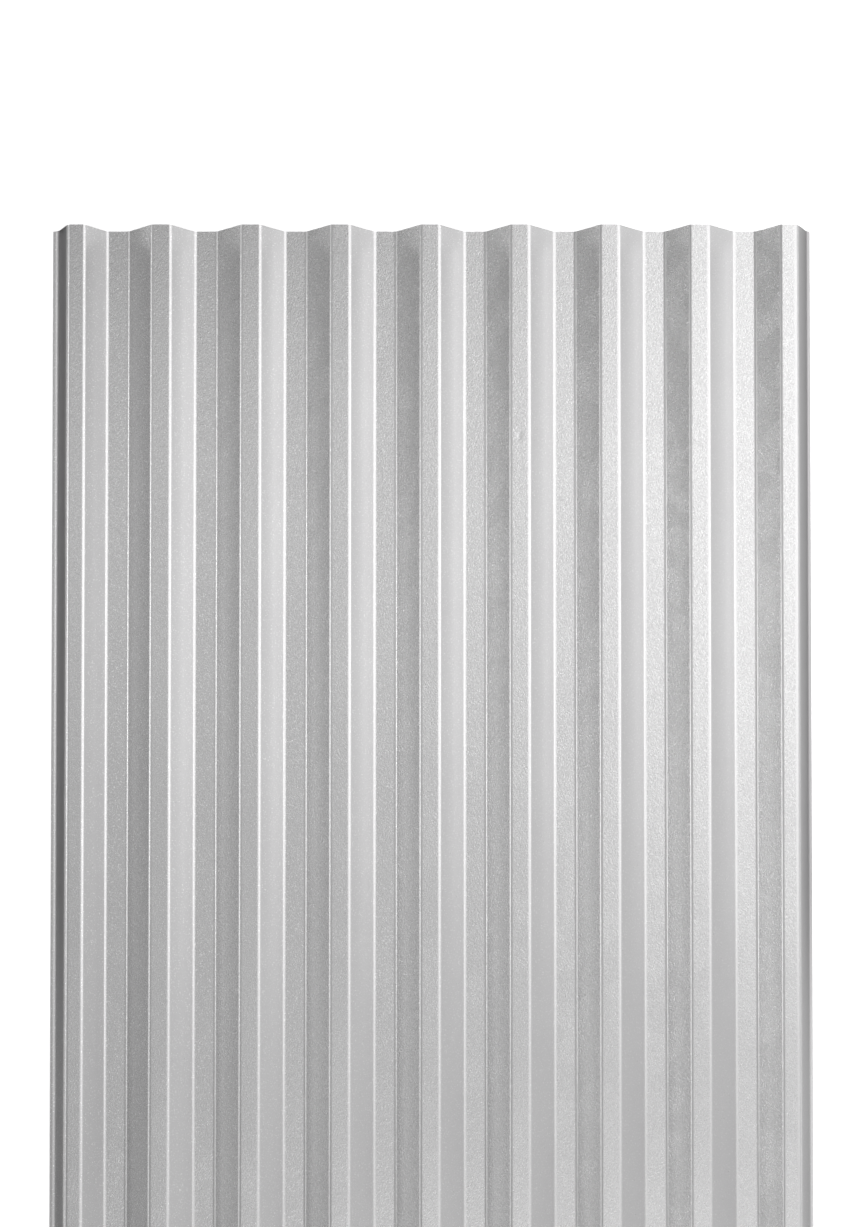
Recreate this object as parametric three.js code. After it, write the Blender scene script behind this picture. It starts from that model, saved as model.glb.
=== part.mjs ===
// Corrugated metal sheet: one rolled sheet with flat crests and flat valleys, lying crests up.
// X runs across the waves, Y runs along the folds and Z is up. Sizes are in millimetres.
// The origin is on the floor under the middle of the sheet.

import * as THREE from "three";

// Flat stock that the sheet is rolled from
const sheetLength = 2000;
const sheetThickness = 0.5;

// Rolled waves. Flats are measured from fold line to fold line.
const profileDepth = 18; // from the underside of a valley to the top of a crest
const crestCount = 9;
const wavePitch = 76; // middle of a crest to the middle of the next
const firstWaveTightening = 4; // the wave beside the wide lip is this much shorter
const crestFlat = 16;
const edgeCrestNarrowing = 2; // the first and last crests are this much narrower
const valleyFlat = 18;
const webHollow = 0.65; // a web sags between its bends: its two halves would meet this far below straight

// Inside radius of each bend: under the sheet at a crest, on top of it in a valley
const crestBendRadius = 4;
const valleyBendRadius = 4.5;

// Side edges: a steep outer web drops to a lip, which stays flat for a little beyond its bend. One lip
// curves out gently and is the wider for it. Their inside radii are on top of the sheet.
const outerWebRun = 8;
const wideLipFlat = 0.5;
const wideLipBendRadius = 6;
const narrowLipFlat = 0.2;
const narrowLipBendRadius = 3.5;

const bendFacets = 6;
const webFacets = 4;

// Heights of the middle of the sheet's thickness
const valleyLevel = sheetThickness / 2;
const crestLevel = profileDepth - sheetThickness / 2;
const webMiddleLevel = (valleyLevel + crestLevel) / 2 - webHollow;

// How far from its corner a bend begins, along the middle line
function bendSetback(insideRadius, turn) {
  return (insideRadius + sheetThickness / 2) * Math.tan(Math.abs(turn) / 2);
}

function flatOfCrest(crest) {
  const atEdge = crest === 0 || crest === crestCount - 1;
  return atEdge ? crestFlat - edgeCrestNarrowing : crestFlat;
}

// The two webs of a wave share what the two half crests and the valley leave of its pitch.
function webRunAfter(crest) {
  const pitch = crest === 0 ? wavePitch - firstWaveTightening : wavePitch;
  const halfCrests = (flatOfCrest(crest) + flatOfCrest(crest + 1)) / 2;
  return (pitch - halfCrests - valleyFlat) / 2;
}

// Corners of the middle line before it is bent, from the wide lip's edge to the narrow lip's. A fold
// has the inside radius of its bend. The middle of a web has none.
function middleLineCorners() {
  const outerWebSlope = Math.atan2(crestLevel - valleyLevel, outerWebRun);
  const wideLip = wideLipFlat + bendSetback(wideLipBendRadius, outerWebSlope);
  const narrowLip = narrowLipFlat + bendSetback(narrowLipBendRadius, outerWebSlope);
  const corners = [];
  let x = 0;
  function addCorner(run, level, insideRadius) {
    x += run;
    corners.push({ place: new THREE.Vector2(x, level), insideRadius });
  }
  function addWeb(run, level, insideRadius) {
    addCorner(run / 2, webMiddleLevel);
    addCorner(run / 2, level, insideRadius);
  }
  addCorner(0, valleyLevel);
  addCorner(wideLip, valleyLevel, wideLipBendRadius);
  addCorner(outerWebRun, crestLevel, crestBendRadius);
  for (let crest = 0; crest < crestCount; crest += 1) {
    addCorner(flatOfCrest(crest), crestLevel, crestBendRadius);
    if (crest < crestCount - 1) {
      addWeb(webRunAfter(crest), valleyLevel, valleyBendRadius);
      addCorner(valleyFlat, valleyLevel, valleyBendRadius);
      addWeb(webRunAfter(crest), crestLevel, crestBendRadius);
    }
  }
  addCorner(outerWebRun, valleyLevel, narrowLipBendRadius);
  addCorner(narrowLip, valleyLevel);
  const sheetWidth = x;
  corners.forEach((corner) => corner.place.setX(corner.place.x - sheetWidth / 2));
  return corners;
}

// How the middle line turns at one of its corners
function turnAt(corners, i) {
  const place = corners[i].place;
  const wayIn = place.clone().sub(corners[i - 1].place).normalize();
  const wayOut = corners[i + 1].place.clone().sub(place).normalize();
  const angle = Math.atan2(wayIn.cross(wayOut), wayIn.dot(wayOut)); // above 0 in a valley
  return { wayIn, wayOut, angle };
}

function leftOf(direction) {
  return new THREE.Vector2(-direction.y, direction.x);
}

// Points round one bend, on the top of the sheet (side 1) or on its underside (side -1). Both faces
// follow arcs about one centre, so the thickness stays the same all the way round.
function bendPoints(corners, i, side) {
  const { place, insideRadius } = corners[i];
  const { wayIn, angle } = turnAt(corners, i);
  const middleRadius = insideRadius + sheetThickness / 2;
  const towardsCentre = leftOf(wayIn).multiplyScalar(Math.sign(angle));
  const centre = place
    .clone()
    .addScaledVector(wayIn, -bendSetback(insideRadius, angle))
    .addScaledVector(towardsCentre, middleRadius);
  const radius = middleRadius - (side * Math.sign(angle) * sheetThickness) / 2;
  const startAngle = Math.atan2(-towardsCentre.y, -towardsCentre.x);
  const arc = new THREE.ArcCurve(centre.x, centre.y, radius, startAngle, startAngle + angle, angle < 0);
  return arc.getPoints(bendFacets);
}

// Where the two halves of a web would meet on the top of the sheet or on its underside
function webMiddlePoint(corners, i, side) {
  const { wayIn, wayOut, angle } = turnAt(corners, i);
  const outwards = leftOf(wayIn.clone().add(wayOut).normalize());
  const offset = (side * sheetThickness) / 2 / Math.cos(angle / 2);
  return corners[i].place.clone().addScaledVector(outwards, offset);
}

// One face of the sheet, from the wide lip's edge to the narrow lip's. A web is a parabola from bend to
// bend, tangent to both of them.
function facePoints(corners, side) {
  const lipLevel = valleyLevel + (side * sheetThickness) / 2;
  const points = [new THREE.Vector2(corners[0].place.x, lipLevel)];
  let webMiddle = null;
  for (let i = 1; i < corners.length - 1; i += 1) {
    if (corners[i].insideRadius === undefined) {
      webMiddle = webMiddlePoint(corners, i, side);
      continue;
    }
    const bend = bendPoints(corners, i, side);
    if (webMiddle) {
      const web = new THREE.QuadraticBezierCurve(points[points.length - 1], webMiddle, bend[0]);
      points.push(...web.getPoints(webFacets).slice(1, -1));
      webMiddle = null;
    }
    points.push(...bend);
  }
  points.push(new THREE.Vector2(corners[corners.length - 1].place.x, lipLevel));
  return points;
}

// Cross-section of the sheet: along the underside and back along the top
function sheetSection() {
  const corners = middleLineCorners();
  return new THREE.Shape([...facePoints(corners, -1), ...facePoints(corners, 1).reverse()]);
}

// The section is drawn upright in XY, so the rolled length is turned from Z to lie along Y.
function rolledSheet() {
  const geometry = new THREE.ExtrudeGeometry(sheetSection(), {
    depth: sheetLength,
    bevelEnabled: false,
  });
  geometry.rotateX(Math.PI / 2);
  geometry.translate(0, sheetLength / 2, 0);
  return geometry;
}

const zincCoatedSteel = new THREE.MeshStandardMaterial({
  color: 0xd4d4d5,
  roughness: 0.35,
  metalness: 1,
});

const corrugatedSheet = new THREE.Mesh(rolledSheet(), zincCoatedSteel);
corrugatedSheet.name = "corrugated_sheet";

const group = new THREE.Group();
group.add(corrugatedSheet);

export default group;
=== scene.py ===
import math

import bpy
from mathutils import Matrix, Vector, noise


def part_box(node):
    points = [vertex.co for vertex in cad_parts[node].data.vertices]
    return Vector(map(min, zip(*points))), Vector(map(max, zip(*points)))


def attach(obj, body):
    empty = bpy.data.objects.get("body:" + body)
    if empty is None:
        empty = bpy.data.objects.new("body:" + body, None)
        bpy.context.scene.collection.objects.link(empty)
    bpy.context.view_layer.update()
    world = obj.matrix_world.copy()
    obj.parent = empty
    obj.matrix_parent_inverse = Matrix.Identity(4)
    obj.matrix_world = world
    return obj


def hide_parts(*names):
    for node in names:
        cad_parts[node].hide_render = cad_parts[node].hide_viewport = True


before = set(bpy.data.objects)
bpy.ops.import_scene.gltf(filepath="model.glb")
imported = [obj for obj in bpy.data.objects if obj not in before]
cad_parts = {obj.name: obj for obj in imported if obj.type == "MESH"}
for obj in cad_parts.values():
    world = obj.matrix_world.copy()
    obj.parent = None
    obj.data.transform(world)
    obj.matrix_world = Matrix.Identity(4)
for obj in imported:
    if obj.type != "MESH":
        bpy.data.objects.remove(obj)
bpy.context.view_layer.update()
sheetLow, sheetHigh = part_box("corrugated_sheet")
mm = 0.001  # one millimetre in metres
print("frame loaded, sheet box", sheetLow, sheetHigh)


def toLinear(hexColour):
    # "#rrggbb" as screens show it, to the linear light that a shader works in
    steps = [int(hexColour[i:i + 2], 16) / 255 for i in (1, 3, 5)]
    light = [s / 12.92 if s <= 0.04045 else ((s + 0.055) / 1.055) ** 2.4 for s in steps]
    return (*light, 1)


def addNode(tree, kind, inputs=None, **settings):
    # one node; each input gets either a value or the socket that feeds it
    node = tree.nodes.new(kind)
    for name, value in settings.items():
        setattr(node, name, value)
    for name, value in (inputs or {}).items():
        if isinstance(value, bpy.types.NodeSocket):
            tree.links.new(value, node.inputs[name])
        else:
            node.inputs[name].default_value = value
    return node


def newMaterial(name):
    material = bpy.data.materials.new(name)
    material.use_nodes = True
    material.node_tree.nodes.clear()
    return material, material.node_tree


# Camera: looks down on the far end of the sheet
cameraSetup = {
    "elevation": 70.5,  # degrees above the horizon
    "lens": 1000,  # mm, so long that the folds stay parallel in the picture
    "sensor": 36,  # mm, along the tall side of the frame
    "frameHeight": 1036.1,  # mm of the scene from the top of the frame to the bottom
    "middleFromFarEnd": 343.4,  # mm from the sheet's far end to the middle of the frame
    "middleToTheRight": 2.15,  # mm
    "clipShares": (0.1, 3),  # nearest and farthest that it sees, as shares of its distance
}


def makeCamera():
    tilt = math.radians(cameraSetup["elevation"])
    back = Vector((0, -math.cos(tilt), math.sin(tilt)))
    target = Vector((
        cameraSetup["middleToTheRight"] * mm,
        sheetHigh.y - cameraSetup["middleFromFarEnd"] * mm,
        0,
    ))
    distance = cameraSetup["frameHeight"] * mm * cameraSetup["lens"] / cameraSetup["sensor"]
    data = bpy.data.cameras.new("camera")
    data.lens = cameraSetup["lens"]
    data.sensor_width = cameraSetup["sensor"]
    data.clip_start, data.clip_end = (share * distance for share in cameraSetup["clipShares"])
    camera = bpy.data.objects.new("camera", data)
    camera.location = target + back * distance
    camera.rotation_euler = (-back).to_track_quat("-Z", "Y").to_euler()
    bpy.context.collection.objects.link(camera)
    bpy.context.scene.camera = camera


makeCamera()
print("camera placed")


# Sheet: rolled from 0.5 mm steel, all sizes in mm
sheetSetup = {
    "thickness": 0.5,
    "crestCount": 9,
    "wavePitch": 76,
    "firstWaveTightening": 4,  # the wave beside the wide lip is shorter
    "crestFlat": 16,
    "edgeCrestNarrowing": 2,
    "valleyFlat": 18,
    "webHollow": 0.65,  # the two halves of a web would meet this far below a straight one
    "crestBendRadius": 4,  # inside radius, under the sheet
    "valleyBendRadius": 4.5,  # inside radius, on top of the sheet
    "outerWebRun": 8,
    "wideLipFlat": 0.5,
    "wideLipBendRadius": 6,
    "narrowLipFlat": 0.2,
    "narrowLipBendRadius": 3.5,
    "bendSteps": 6,
    "webSteps": 5,
    "foldSupport": 0.5,  # first edge beside a bend, which keeps the flats flat to the eye
    "flatStep": 9,  # widest gap between edges across a flat
    "rowStep": 20,  # gap between rows along the sheet
    "settling": 0.12,  # how far the long flats of thin stock wander in height
    "settlingLength": 170,  # and over what length along the folds
    "settlingWidth": 45,
    "settlingSeed": 7,
    "sharpBeyond": 40,  # degrees between two faces, which keeps the cut edges crisp
}
dent = {
    "crest": 5,  # counted from 0 at the wide lip
    "fromCrestMiddle": -0.25,  # mm towards the narrow lip
    "fromFarEnd": 190,
    "gentleHalfWidth": 2.6,  # on the wide lip's side
    "steepHalfWidth": 1.5,  # on the narrow lip's side
    "halfLength": 3.6,
    "depth": 0.2,
    "edgeStep": 1,  # gap between edges and rows round the dent
    "finerRows": 2,  # how many half lengths from its middle the rows stay close together
}
profileDepth = (sheetHigh.z - sheetLow.z) / mm
crestLevel = profileDepth - sheetSetup["thickness"] / 2
valleyLevel = sheetSetup["thickness"] / 2


def bendSetback(insideRadius, turn):
    return (insideRadius + sheetSetup["thickness"] / 2) * math.tan(abs(turn) / 2)


def flatOfCrest(crest):
    atEdge = crest in (0, sheetSetup["crestCount"] - 1)
    return sheetSetup["crestFlat"] - (sheetSetup["edgeCrestNarrowing"] if atEdge else 0)


def webRunAfter(crest):
    # what two half crests and a valley leave of the pitch, half on each side
    pitch = sheetSetup["wavePitch"] - (sheetSetup["firstWaveTightening"] if crest == 0 else 0)
    halfCrests = (flatOfCrest(crest) + flatOfCrest(crest + 1)) / 2
    return (pitch - halfCrests - sheetSetup["valleyFlat"]) / 2


def foldCorners():
    # corners of the middle line before it is bent: place, inside radius of the bend, name of the
    # stretch before it; the middle of a web has no bend
    crestRadius, valleyRadius = sheetSetup["crestBendRadius"], sheetSetup["valleyBendRadius"]
    wideRadius, narrowRadius = sheetSetup["wideLipBendRadius"], sheetSetup["narrowLipBendRadius"]
    outerSlope = math.atan2(crestLevel - valleyLevel, sheetSetup["outerWebRun"])
    wideLip = sheetSetup["wideLipFlat"] + bendSetback(wideRadius, outerSlope)
    narrowLip = sheetSetup["narrowLipFlat"] + bendSetback(narrowRadius, outerSlope)
    webMiddleLevel = (crestLevel + valleyLevel) / 2 - sheetSetup["webHollow"]
    corners = [(Vector((sheetLow.x / mm, valleyLevel)), 0, "edge")]

    def goTo(run, level, radius, stretch):
        corners.append((Vector((corners[-1][0].x + run, level)), radius, stretch))

    def goOverWeb(run, level, radius):
        goTo(run / 2, webMiddleLevel, 0, "web")
        goTo(run / 2, level, radius, "web")

    goTo(wideLip, valleyLevel, wideRadius, "lip")
    goTo(sheetSetup["outerWebRun"], crestLevel, crestRadius, "outer web")
    for crest in range(sheetSetup["crestCount"]):
        kind = "dented crest" if crest == dent["crest"] else "crest"
        goTo(flatOfCrest(crest), crestLevel, crestRadius, kind)
        if crest < sheetSetup["crestCount"] - 1:
            goOverWeb(webRunAfter(crest), valleyLevel, valleyRadius)
            goTo(sheetSetup["valleyFlat"], valleyLevel, valleyRadius, "valley")
            goOverWeb(webRunAfter(crest), crestLevel, crestRadius)
    goTo(sheetSetup["outerWebRun"], valleyLevel, narrowRadius, "outer web")
    goTo(narrowLip, valleyLevel, 0, "lip")
    return corners


def spread(start, end, step, support=0):
    # places from start to end, both kept, no more than step apart; a stretch that is long enough
    # also gets a support edge near each end
    inner = [start + support, end - support] if end - start > 4 * support > 0 else []
    low, high = inner or (start, end)
    count = max(1, math.ceil((high - low) / step))
    between = [low + (high - low) * i / count for i in range(1, count)]
    return [start, *inner[:1], *between, *inner[1:], end]


def turnedBy(direction, angle):
    return Vector((
        direction.x * math.cos(angle) - direction.y * math.sin(angle),
        direction.x * math.sin(angle) + direction.y * math.cos(angle),
    ))


def bendAt(corners, i):
    # the round bend at a fold: where it begins and ends, its centre, how far it turns, which way is up
    corner, inside = corners[i][:2]
    heading = (corner - corners[i - 1][0]).normalized()
    ahead = (corners[i + 1][0] - corner).normalized()
    turn = math.atan2(heading.cross(ahead), heading.dot(ahead))
    setback = bendSetback(inside, turn)
    up = turnedBy(heading, math.pi / 2)
    begin = corner - heading * setback
    centre = begin + up * math.copysign(inside + sheetSetup["thickness"] / 2, turn)
    return begin, corner + ahead * setback, centre, turn, up


def webPoints(begin, webMiddle, end):
    # a parabola from bend to bend, tangent to both halves of the web
    length = (end - begin).length
    points = []
    for along in spread(0, length, length / sheetSetup["webSteps"], sheetSetup["foldSupport"]):
        t = along / length
        place = begin * (1 - t) ** 2 + webMiddle * 2 * t * (1 - t) + end * t ** 2
        slope = ((webMiddle - begin) * (1 - t) + (end - webMiddle) * t).normalized()
        points.append((place, turnedBy(slope, math.pi / 2)))
    return points


def flatPoints(begin, end, step):
    heading = (end - begin).normalized()
    places = spread(0, (end - begin).length, step, sheetSetup["foldSupport"])
    return [(begin + heading * along, turnedBy(heading, math.pi / 2)) for along in places]


def middleLine():
    # points across the sheet with the normal at each: flats and hollow webs joined by round bends
    corners = foldCorners()
    bends = {i: bendAt(corners, i) for i, corner in enumerate(corners) if corner[1]}
    points = []
    begin = corners[0][0]
    webMiddle = None
    for i, (corner, inside, stretch) in enumerate(corners[1:], 1):
        if stretch == "web" and not inside:
            webMiddle = corner
            continue
        end = bends[i][0] if i in bends else corner
        if stretch == "web":
            points += webPoints(begin, webMiddle, end)
        else:
            step = dent["edgeStep"] if stretch == "dented crest" else sheetSetup["flatStep"]
            points += flatPoints(begin, end, step)
        if i in bends:
            bendBegin, bendEnd, centre, turn, up = bends[i]
            steps = sheetSetup["bendSteps"]
            for k in range(1, steps):
                spoke = turnedBy(bendBegin - centre, turn * k / steps)
                points.append((centre + spoke, turnedBy(up, turn * k / steps)))
            begin = bendEnd
    return points


def dentPlace():
    corners = foldCorners()
    at = next(i for i, corner in enumerate(corners) if corner[2] == "dented crest")
    x = (corners[at - 1][0].x + corners[at][0].x) / 2 + dent["fromCrestMiddle"]
    return Vector((x, sheetHigh.y / mm - dent["fromFarEnd"]))


dentMiddle = dentPlace()


def rowPlaces():
    # rows along the sheet, closer together where the dent is
    low, high = sheetLow.y / mm, sheetHigh.y / mm
    reach = dent["halfLength"] * dent["finerRows"]
    before = spread(low, dentMiddle.y - reach, sheetSetup["rowStep"])
    within = spread(dentMiddle.y - reach, dentMiddle.y + reach, dent["edgeStep"])
    after = spread(dentMiddle.y + reach, high, sheetSetup["rowStep"])
    return before + within[1:-1] + after


def settled(point, y):
    # thin stock never lies quite flat: crests sink and valleys lift a little, inside the true depth
    across, along = sheetSetup["settlingWidth"], sheetSetup["settlingLength"]
    wander = 0.5 + 0.5 * noise.noise(Vector((point.x / across, y / along, sheetSetup["settlingSeed"])))
    level = 2 * point.y / profileDepth - 1  # 1 at the top of a crest, -1 at the bottom of a valley
    lowered = sheetSetup["settling"] * min(1, max(0, wander)) * level
    beside = point.x - dentMiddle.x
    halfWidth = dent["gentleHalfWidth"] if beside < 0 else dent["steepHalfWidth"]
    reach = (beside / halfWidth) ** 2 + ((y - dentMiddle.y) / dent["halfLength"]) ** 2
    return Vector((point.x, point.y - lowered - dent["depth"] * math.exp(-reach)))


def makeSheet():
    line = middleLine()
    rows = rowPlaces()
    count = len(line)
    half = sheetSetup["thickness"] / 2
    vertices = []
    for y in rows:
        places = [(settled(point, y), up) for point, up in line]
        for side in (half, -half):
            vertices += [((p.x + up.x * side) * mm, y * mm, (p.y + up.y * side) * mm) for p, up in places]

    def top(row, column):
        return row * 2 * count + column

    def under(row, column):
        return top(row, column) + count

    faces = []
    last = len(rows) - 1
    for row in range(last):
        for i in range(count - 1):
            faces.append((top(row, i), top(row, i + 1), top(row + 1, i + 1), top(row + 1, i)))
            faces.append((under(row, i), under(row + 1, i), under(row + 1, i + 1), under(row, i + 1)))
        end = count - 1
        faces.append((top(row, 0), top(row + 1, 0), under(row + 1, 0), under(row, 0)))
        faces.append((top(row, end), under(row, end), under(row + 1, end), top(row + 1, end)))
    for i in range(count - 1):
        faces.append((top(0, i), under(0, i), under(0, i + 1), top(0, i + 1)))
        faces.append((top(last, i), top(last, i + 1), under(last, i + 1), under(last, i)))

    mesh = bpy.data.meshes.new("rolled_sheet")
    mesh.from_pydata(vertices, [], faces)
    mesh.shade_smooth()
    mesh.set_sharp_from_angle(angle=math.radians(sheetSetup["sharpBeyond"]))
    sheet = bpy.data.objects.new("rolled_sheet", mesh)
    bpy.context.collection.objects.link(sheet)
    print("sheet rolled:", len(faces) * 2, "triangles,", count, "points across,", len(rows), "rows")
    return sheet


# Zinc-coated steel: hot dipped, then rolled through dull rollers and folded. To the eye it is a satin
# grey with a soft gleam along the folds. Its fine frosty grain is partly short slanting wrinkles that
# the rollers press in, and partly zinc crystals, some duller than others.
# The surface's sideways lean is the X of its normal, below 0 where it faces the wide lip.
steelSetup = {
    "dullZinc": "#d0cfd0",
    "brightZinc": "#dadada",
    "roughness": 0.29,
    "roughnessSpread": 0.05,  # duller crystals are this much rougher, brighter ones this much smoother
    "crystalSize": 0.8,  # mm, about twice the real one, so that it shows
    "crystalStretch": 1.8,  # how much longer it is along the folds
    "crystalDetail": 1,
    "crystalRange": (0.3, 0.7),  # of the noise that makes them, from the dullest to the brightest
    "wrinkleWidth": 0.8,  # mm, one wave of the grain across a wrinkle
    "wrinkleLength": 1.8,  # mm, along it
    "wrinkleDetail": 1.5,
    "wrinkleSlant": 24,  # degrees off the folds, one way or the other
    "patchSize": 28,  # mm, how soon the slant changes
    "patchEdge": (0.48, 0.52),  # of the noise that makes the patches, from one slant to the other
    # height of the wrinkles in mm: by the wide lip, by the narrow lip
    "wrinklesOnFlats": (0.14, 0.13),
    "wrinklesOnWebs": (0.08, 0.26),  # on the webs that face the wide lip
    "wrinklesOnBends": (0.015, 0.015),  # bending stretches them smooth, and the other webs too
    "bendsEvened": 0.75,  # and hides this share of the difference between the crystals
    "bendLean": (0.02, 0.12),  # sideways lean, either way, from a flat to a bend
    "webLean": (-0.62, -0.57),  # from a web that faces the wide lip to its bends
    "flatLean": (-0.4, -0.1),  # from such a web's bends to a flat
    "cloudSize": 90,  # mm, faint clouds in the zinc
    "cloudDetail": 2,
    "cloudRange": (0.3, 0.7),  # of the noise that makes them
    "cloudStrength": 0.05,  # how far they shift the crystals, in the crystals' noise
    "paintedGlintZinc": "#fafafa",  # painted glints: sparse specks made bright in the colour, where crystals would catch the light
    "paintedGlintShare": (1, 0.3),  # how bright the painted glints get: by the wide lip, by the narrow lip
    "speckSize": 1,  # mm
    "speckRange": (0.67, 0.77),  # of the noise that makes them, from none to full
    "dulledEdges": 0.1,  # how much rougher the lips and their outer webs are, from handling
    "dulledBeyond": (308, 310),  # mm from the middle of the sheet, from not at all to fully dulled
    "paintedShadeZinc": "#b4b3b4",  # painted shade: the outer webs by both lips are darkened in the colour towards this grey
    # how strong the painted shade is at some places across the sheet, in mm from the wide lip's edge
    "wideLipPaintedShade": [(4, 0), (5.2, 1), (11.4, 1), (12.8, 0)],
    "narrowLipPaintedShade": [(630, 0), (631.5, 0.5), (635.5, 0.6), (637.5, 1)],
    "paintedShadeFade": (590, 760),  # mm from the far end, from full to none
}


def grain(tree, place, width, length, slant=0, detail=0):
    # noise with cells of the given width and length in mm, turned off the folds by the slant
    turned = addNode(tree, "ShaderNodeVectorRotate",
                     {"Vector": place, "Angle": math.radians(slant)}, rotation_type="Z_AXIS")
    across, along = 1 / (width * mm), 1 / (length * mm)
    scaled = addNode(tree, "ShaderNodeVectorMath",
                     {0: turned.outputs[0], 1: (across, along, across)}, operation="MULTIPLY")
    cells = addNode(tree, "ShaderNodeTexNoise",
                    {"Vector": scaled.outputs[0], "Scale": 1, "Detail": detail})
    return cells.outputs["Fac"]


def acrossSheet(tree, x, byWideLip, byNarrowLip):
    # a value that changes evenly from the wide lip to the narrow one
    return addNode(tree, "ShaderNodeMapRange", {
        "Value": x,
        "From Min": sheetLow.x,
        "From Max": sheetHigh.x,
        "To Min": byWideLip,
        "To Max": byNarrowLip,
    }).outputs[0]


def smoothShare(tree, lean):
    # 1 on the bends and on the webs that face the narrow lip, 0 on the flats and the other webs
    tilt = addNode(tree, "ShaderNodeMath", {0: lean}, operation="ABSOLUTE").outputs[0]
    flat, bend = steelSetup["bendLean"]
    bent = addNode(tree, "ShaderNodeMapRange", {"Value": tilt, "From Min": flat, "From Max": bend})
    web, bend = steelSetup["webLean"]
    return addNode(tree, "ShaderNodeMapRange",
                   {"Value": lean, "From Min": web, "From Max": bend, "To Max": bent.outputs[0]}).outputs[0]


def wrinkledNormal(tree, place, x, lean, smooth):
    # rolled-in wrinkles, which slant one way in some patches and the other way in the rest
    width, length = steelSetup["wrinkleWidth"], steelSetup["wrinkleLength"]
    wrinkles = [
        grain(tree, place, width, length, slant, steelSetup["wrinkleDetail"])
        for slant in (steelSetup["wrinkleSlant"], -steelSetup["wrinkleSlant"])
    ]
    patches = grain(tree, place, steelSetup["patchSize"], steelSetup["patchSize"])
    low, high = steelSetup["patchEdge"]
    choice = addNode(tree, "ShaderNodeMapRange", {"Value": patches, "From Min": low, "From Max": high})
    height = addNode(tree, "ShaderNodeMix", {"Factor": choice.outputs[0], 2: wrinkles[0], 3: wrinkles[1]})
    onFlats, onWebs, onBends = (
        acrossSheet(tree, x, *(relief * mm for relief in steelSetup[name]))
        for name in ("wrinklesOnFlats", "wrinklesOnWebs", "wrinklesOnBends")
    )
    bend, flat = steelSetup["flatLean"]
    relief = addNode(tree, "ShaderNodeMapRange",
                     {"Value": lean, "From Min": bend, "From Max": flat, "To Min": onWebs, "To Max": onFlats})
    relief = addNode(tree, "ShaderNodeMapRange",
                     {"Value": smooth, "To Min": relief.outputs[0], "To Max": onBends})
    return addNode(tree, "ShaderNodeBump",
                   {"Height": height.outputs[0], "Strength": 1, "Distance": relief.outputs[0]}).outputs[0]


def zincCrystals(tree, place, smooth):
    size = steelSetup["crystalSize"]
    stretched = size * steelSetup["crystalStretch"]
    crystals = grain(tree, place, size, stretched, detail=steelSetup["crystalDetail"])
    evened = addNode(tree, "ShaderNodeMapRange", {"Value": smooth, "To Max": steelSetup["bendsEvened"]})
    return addNode(tree, "ShaderNodeMix", {"Factor": evened.outputs[0], 2: crystals, 3: 0.5}).outputs[0]


def zincColour(tree, place, x, crystals):
    # duller and brighter crystals under faint clouds, with sparse painted glints: specks made bright in the
    # colour
    size, detail = steelSetup["cloudSize"], steelSetup["cloudDetail"]
    low, high = steelSetup["cloudRange"]
    cloudy = addNode(tree, "ShaderNodeMapRange", {
        "Value": grain(tree, place, size, size, detail=detail),
        "From Min": low,
        "From Max": high,
        "To Min": -steelSetup["cloudStrength"],
        "To Max": steelSetup["cloudStrength"],
    })
    shade = addNode(tree, "ShaderNodeMath", {0: crystals, 1: cloudy.outputs[0]}, operation="ADD").outputs[0]
    low, high = steelSetup["crystalRange"]
    brightness = addNode(tree, "ShaderNodeMapRange", {"Value": shade, "From Min": low, "From Max": high})
    colour = addNode(tree, "ShaderNodeMix", {
        "Factor": brightness.outputs[0],
        6: toLinear(steelSetup["dullZinc"]),
        7: toLinear(steelSetup["brightZinc"]),
    }, data_type="RGBA")
    # painted glints: bright specks mixed into the colour, stronger by the wide lip
    low, high = steelSetup["speckRange"]
    specks = addNode(tree, "ShaderNodeMapRange", {
        "Value": grain(tree, place, steelSetup["speckSize"], steelSetup["speckSize"]),
        "From Min": low,
        "From Max": high,
        "To Max": acrossSheet(tree, x, *steelSetup["paintedGlintShare"]),
    })
    return addNode(tree, "ShaderNodeMix", {
        "Factor": specks.outputs[0],
        6: colour.outputs[2],
        7: toLinear(steelSetup["paintedGlintZinc"]),
    }, data_type="RGBA").outputs[2]


def withPaintedEdgeShade(tree, x, y, colour):
    # painted shade on the outer webs: it follows a ramp across the sheet and fades along it
    ramp = addNode(tree, "ShaderNodeValToRGB", {"Fac": acrossSheet(tree, x, 0, 1)})
    places = steelSetup["wideLipPaintedShade"] + steelSetup["narrowLipPaintedShade"]
    stops = ramp.color_ramp.elements
    while len(stops) < len(places):
        stops.new(1)
    for stop, (fromEdge, share) in zip(stops, places):
        stop.position = fromEdge * mm / (sheetHigh.x - sheetLow.x)
        stop.color = (share, share, share, 1)
    full, none = steelSetup["paintedShadeFade"]
    edgeShade = addNode(tree, "ShaderNodeMapRange", {
        "Value": y,
        "From Min": sheetHigh.y - none * mm,
        "From Max": sheetHigh.y - full * mm,
        "To Max": ramp.outputs["Color"],
    })
    return addNode(tree, "ShaderNodeMix", {
        "Factor": edgeShade.outputs[0],
        6: colour,
        7: toLinear(steelSetup["paintedShadeZinc"]),
    }, data_type="RGBA").outputs[2]


def zincRoughness(tree, x, crystals):
    low, high = steelSetup["crystalRange"]
    roughness = addNode(tree, "ShaderNodeMapRange", {
        "Value": crystals,
        "From Min": low,
        "From Max": high,
        "To Min": steelSetup["roughness"] + steelSetup["roughnessSpread"],
        "To Max": steelSetup["roughness"] - steelSetup["roughnessSpread"],
    })
    fromMiddle = addNode(tree, "ShaderNodeMath", {0: x}, operation="ABSOLUTE")
    low, high = steelSetup["dulledBeyond"]
    dulled = addNode(tree, "ShaderNodeMapRange", {
        "Value": fromMiddle.outputs[0],
        "From Min": low * mm,
        "From Max": high * mm,
        "To Max": steelSetup["dulledEdges"],
    })
    return addNode(tree, "ShaderNodeMath",
                   {0: roughness.outputs[0], 1: dulled.outputs[0]}, operation="ADD").outputs[0]


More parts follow.
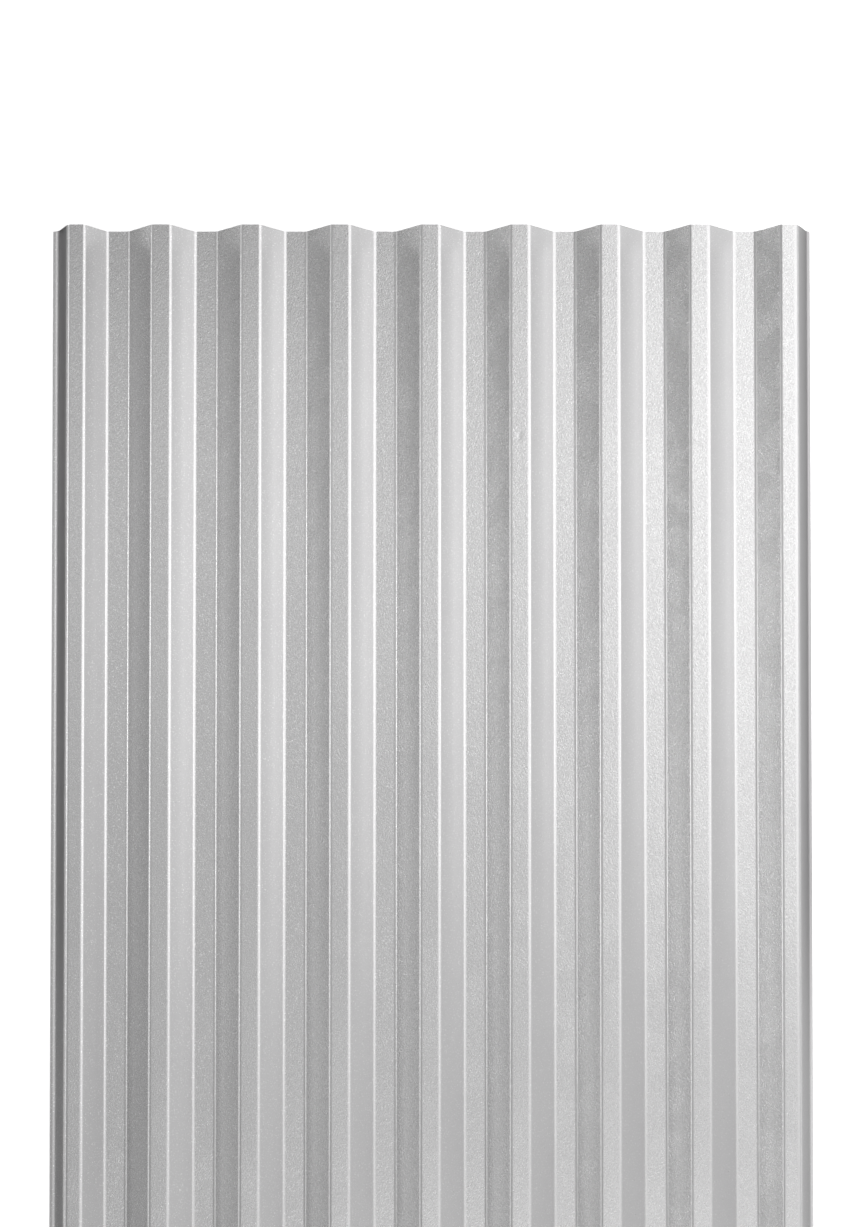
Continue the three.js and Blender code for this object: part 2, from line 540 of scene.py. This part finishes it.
def zincCoatedSteel():
    material, tree = newMaterial("zincCoatedSteel")
    coordinates = addNode(tree, "ShaderNodeTexCoord").outputs
    place = coordinates["Object"]
    whereabouts = addNode(tree, "ShaderNodeSeparateXYZ", {0: place}).outputs
    x, y = whereabouts["X"], whereabouts["Y"]
    lean = addNode(tree, "ShaderNodeSeparateXYZ", {0: coordinates["Normal"]}).outputs["X"]
    smooth = smoothShare(tree, lean)
    crystals = zincCrystals(tree, place, smooth)
    shader = addNode(tree, "ShaderNodeBsdfPrincipled", {
        "Base Color": withPaintedEdgeShade(tree, x, y, zincColour(tree, place, x, crystals)),
        "Metallic": 1,
        "Roughness": zincRoughness(tree, x, crystals),
        "Normal": wrinkledNormal(tree, place, x, lean, smooth),
    })
    addNode(tree, "ShaderNodeOutputMaterial", {"Surface": shader.outputs[0]})
    return material


sheet = makeSheet()
sheet.data.materials.append(zincCoatedSteel())
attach(sheet, "root")
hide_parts("corrugated_sheet")


# Floor: matt painted board, pale and even
floorSetup = {
    "colour": "#f4f4f4",
    "size": 60,  # metres
    "below": 0.2,  # mm under the sheet
    "seenBrighter": 2.2,  # how many times brighter it looks to the camera and in the metal
    "paintedShadeBeside": (0.1, 0.75),  # painted shade: how many times as bright the board looks in the metal close beside the sheet: wide lip, narrow lip
    "paintedShadeReach": (15, 150),  # mm that a ray has come, from the painted shade to the white look
}


def mattWhitePaint():
    # The board lights the sheet as a pale one does. The camera and the metal see it white, with its shadows,
    # and close beside the sheet the metal sees painted shade on it, darker by the wide lip.
    material, tree = newMaterial("mattWhitePaint")
    ray = addNode(tree, "ShaderNodeLightPath").outputs
    seen = addNode(tree, "ShaderNodeMath", {0: ray["Is Camera Ray"], 1: ray["Is Glossy Ray"]})
    seen = addNode(tree, "ShaderNodeMath", {0: seen.outputs[0], 1: ray["Is Transmission Ray"]})
    place = addNode(tree, "ShaderNodeNewGeometry").outputs["Position"]
    x = addNode(tree, "ShaderNodeSeparateXYZ", {0: place}).outputs["X"]
    near, far = floorSetup["paintedShadeReach"]
    # painted shade: rays from the metal that meet the board close by see it darkened, more by the wide lip
    reached = addNode(tree, "ShaderNodeMapRange", {
        "Value": ray["Ray Length"],
        "From Min": near * mm,
        "From Max": far * mm,
        "To Min": acrossSheet(tree, x, *floorSetup["paintedShadeBeside"]),
        "To Max": floorSetup["seenBrighter"],
    })
    brighter = addNode(tree, "ShaderNodeMapRange",
                       {"Value": seen.outputs[0], "To Min": 1, "To Max": reached.outputs[0]})
    colour = addNode(tree, "ShaderNodeVectorMath",
                     {0: toLinear(floorSetup["colour"])[:3], "Scale": brighter.outputs[0]}, operation="SCALE")
    shader = addNode(tree, "ShaderNodeBsdfDiffuse", {"Color": colour.outputs[0]})
    addNode(tree, "ShaderNodeOutputMaterial", {"Surface": shader.outputs[0]})
    return material


def makeFloor():
    half = floorSetup["size"] / 2
    z = sheetLow.z - floorSetup["below"] * mm
    corners = [(-half, -half, z), (half, -half, z), (half, half, z), (-half, half, z)]
    mesh = bpy.data.meshes.new("floor")
    mesh.from_pydata(corners, [], [(0, 1, 2, 3)])
    mesh.materials.append(mattWhitePaint())
    floor = bpy.data.objects.new("floor", mesh)
    bpy.context.collection.objects.link(floor)


makeFloor()

# Light: softboxes above and beside the sheet, brighter on the right. Sizes in metres, width then height.
# A softbox of brightness 1 looks as white as paper. The last four light the sheet's near half.
down, toTheRight, toTheLeft = (0, 0, -1), (1, 0, 0), (-1, 0, 0)
towardsMiddle = (0, 3.2, -1.1)
lamps = {
    "overheadLeft": {"at": (-0.3, 1.1, 1.3), "faces": down, "size": (0.9, 0.6), "brightness": 0.23},
    "overheadFarLeft": {"at": (-1.125, 1.275, 1.3), "faces": down, "size": (0.75, 0.95), "brightness": 0.25},
    "overheadRight": {"at": (0.825, 1.5, 1.3), "faces": down, "size": (1.35, 1.4), "brightness": 1.2},
    "overheadKey": {"at": (-0.15, 1.25, 1.29), "faces": down, "size": (1.2, 0.3), "brightness": 0.33},
    "overheadFront": {"at": (0.525, 0.4, 1.3), "faces": down, "size": (1.95, 0.8), "brightness": 0.31},
    "overheadNear": {"at": (0.675, 0.225, 1.29), "faces": down, "size": (1.65, 0.45), "brightness": 0.91},
    "leftWide": {"at": (-1.5, 0.775, 0.825), "faces": toTheRight, "size": (1.15, 0.95), "brightness": 0.58},
    "leftHigh": {"at": (-1.49, 1.275, 1.05), "faces": toTheRight, "size": (0.65, 0.5), "brightness": 2.2},
    "rightWide": {"at": (1.5, 1.575, 0.825), "faces": toTheLeft, "size": (1.25, 0.95), "brightness": 0.61},
    "rightHigh": {"at": (1.48, 1.375, 1.05), "faces": toTheLeft, "size": (0.45, 0.5), "brightness": 1.6},
    "rightLow": {"at": (1.49, 0.9, 0.66), "faces": toTheLeft, "size": (1.4, 1.28), "brightness": 0.43},
    "nearHalfOverhead": {"at": (0, -1.4, 1.3), "faces": down, "size": (2.4, 1.2), "brightness": 0.5},
    "nearHalfStanding": {"at": (0, -3.2, 1.1), "faces": towardsMiddle, "size": (6.5, 1.6), "brightness": 0.7},
    "nearHalfLeft": {"at": (-1.5, -0.65, 0.7), "faces": toTheRight, "size": (1.2, 1), "brightness": 0.5},
    "nearHalfRight": {"at": (1.5, -0.65, 0.7), "faces": toTheLeft, "size": (1.2, 1), "brightness": 0.5},
}
worldSetup = {"colour": "#ffffff", "strength": 0.3}


def makeLight():
    for name, setup in lamps.items():
        data = bpy.data.lights.new(name, "AREA")
        data.shape = "RECTANGLE"
        data.size, data.size_y = setup["size"]
        data.energy = setup["brightness"] * math.pi * data.size * data.size_y
        lamp = bpy.data.objects.new(name, data)
        lamp.location = setup["at"]
        lamp.rotation_euler = Vector(setup["faces"]).to_track_quat("-Z", "Y").to_euler()
        bpy.context.collection.objects.link(lamp)
    world = bpy.data.worlds.new("studio")
    world.use_nodes = True
    world.node_tree.nodes.clear()
    background = addNode(world.node_tree, "ShaderNodeBackground",
                         {"Color": toLinear(worldSetup["colour"]), "Strength": worldSetup["strength"]})
    addNode(world.node_tree, "ShaderNodeOutputWorld", {"Surface": background.outputs[0]})
    bpy.context.scene.world = world


makeLight()
bpy.context.scene.view_settings.view_transform = "Standard"
print("floor and light set")
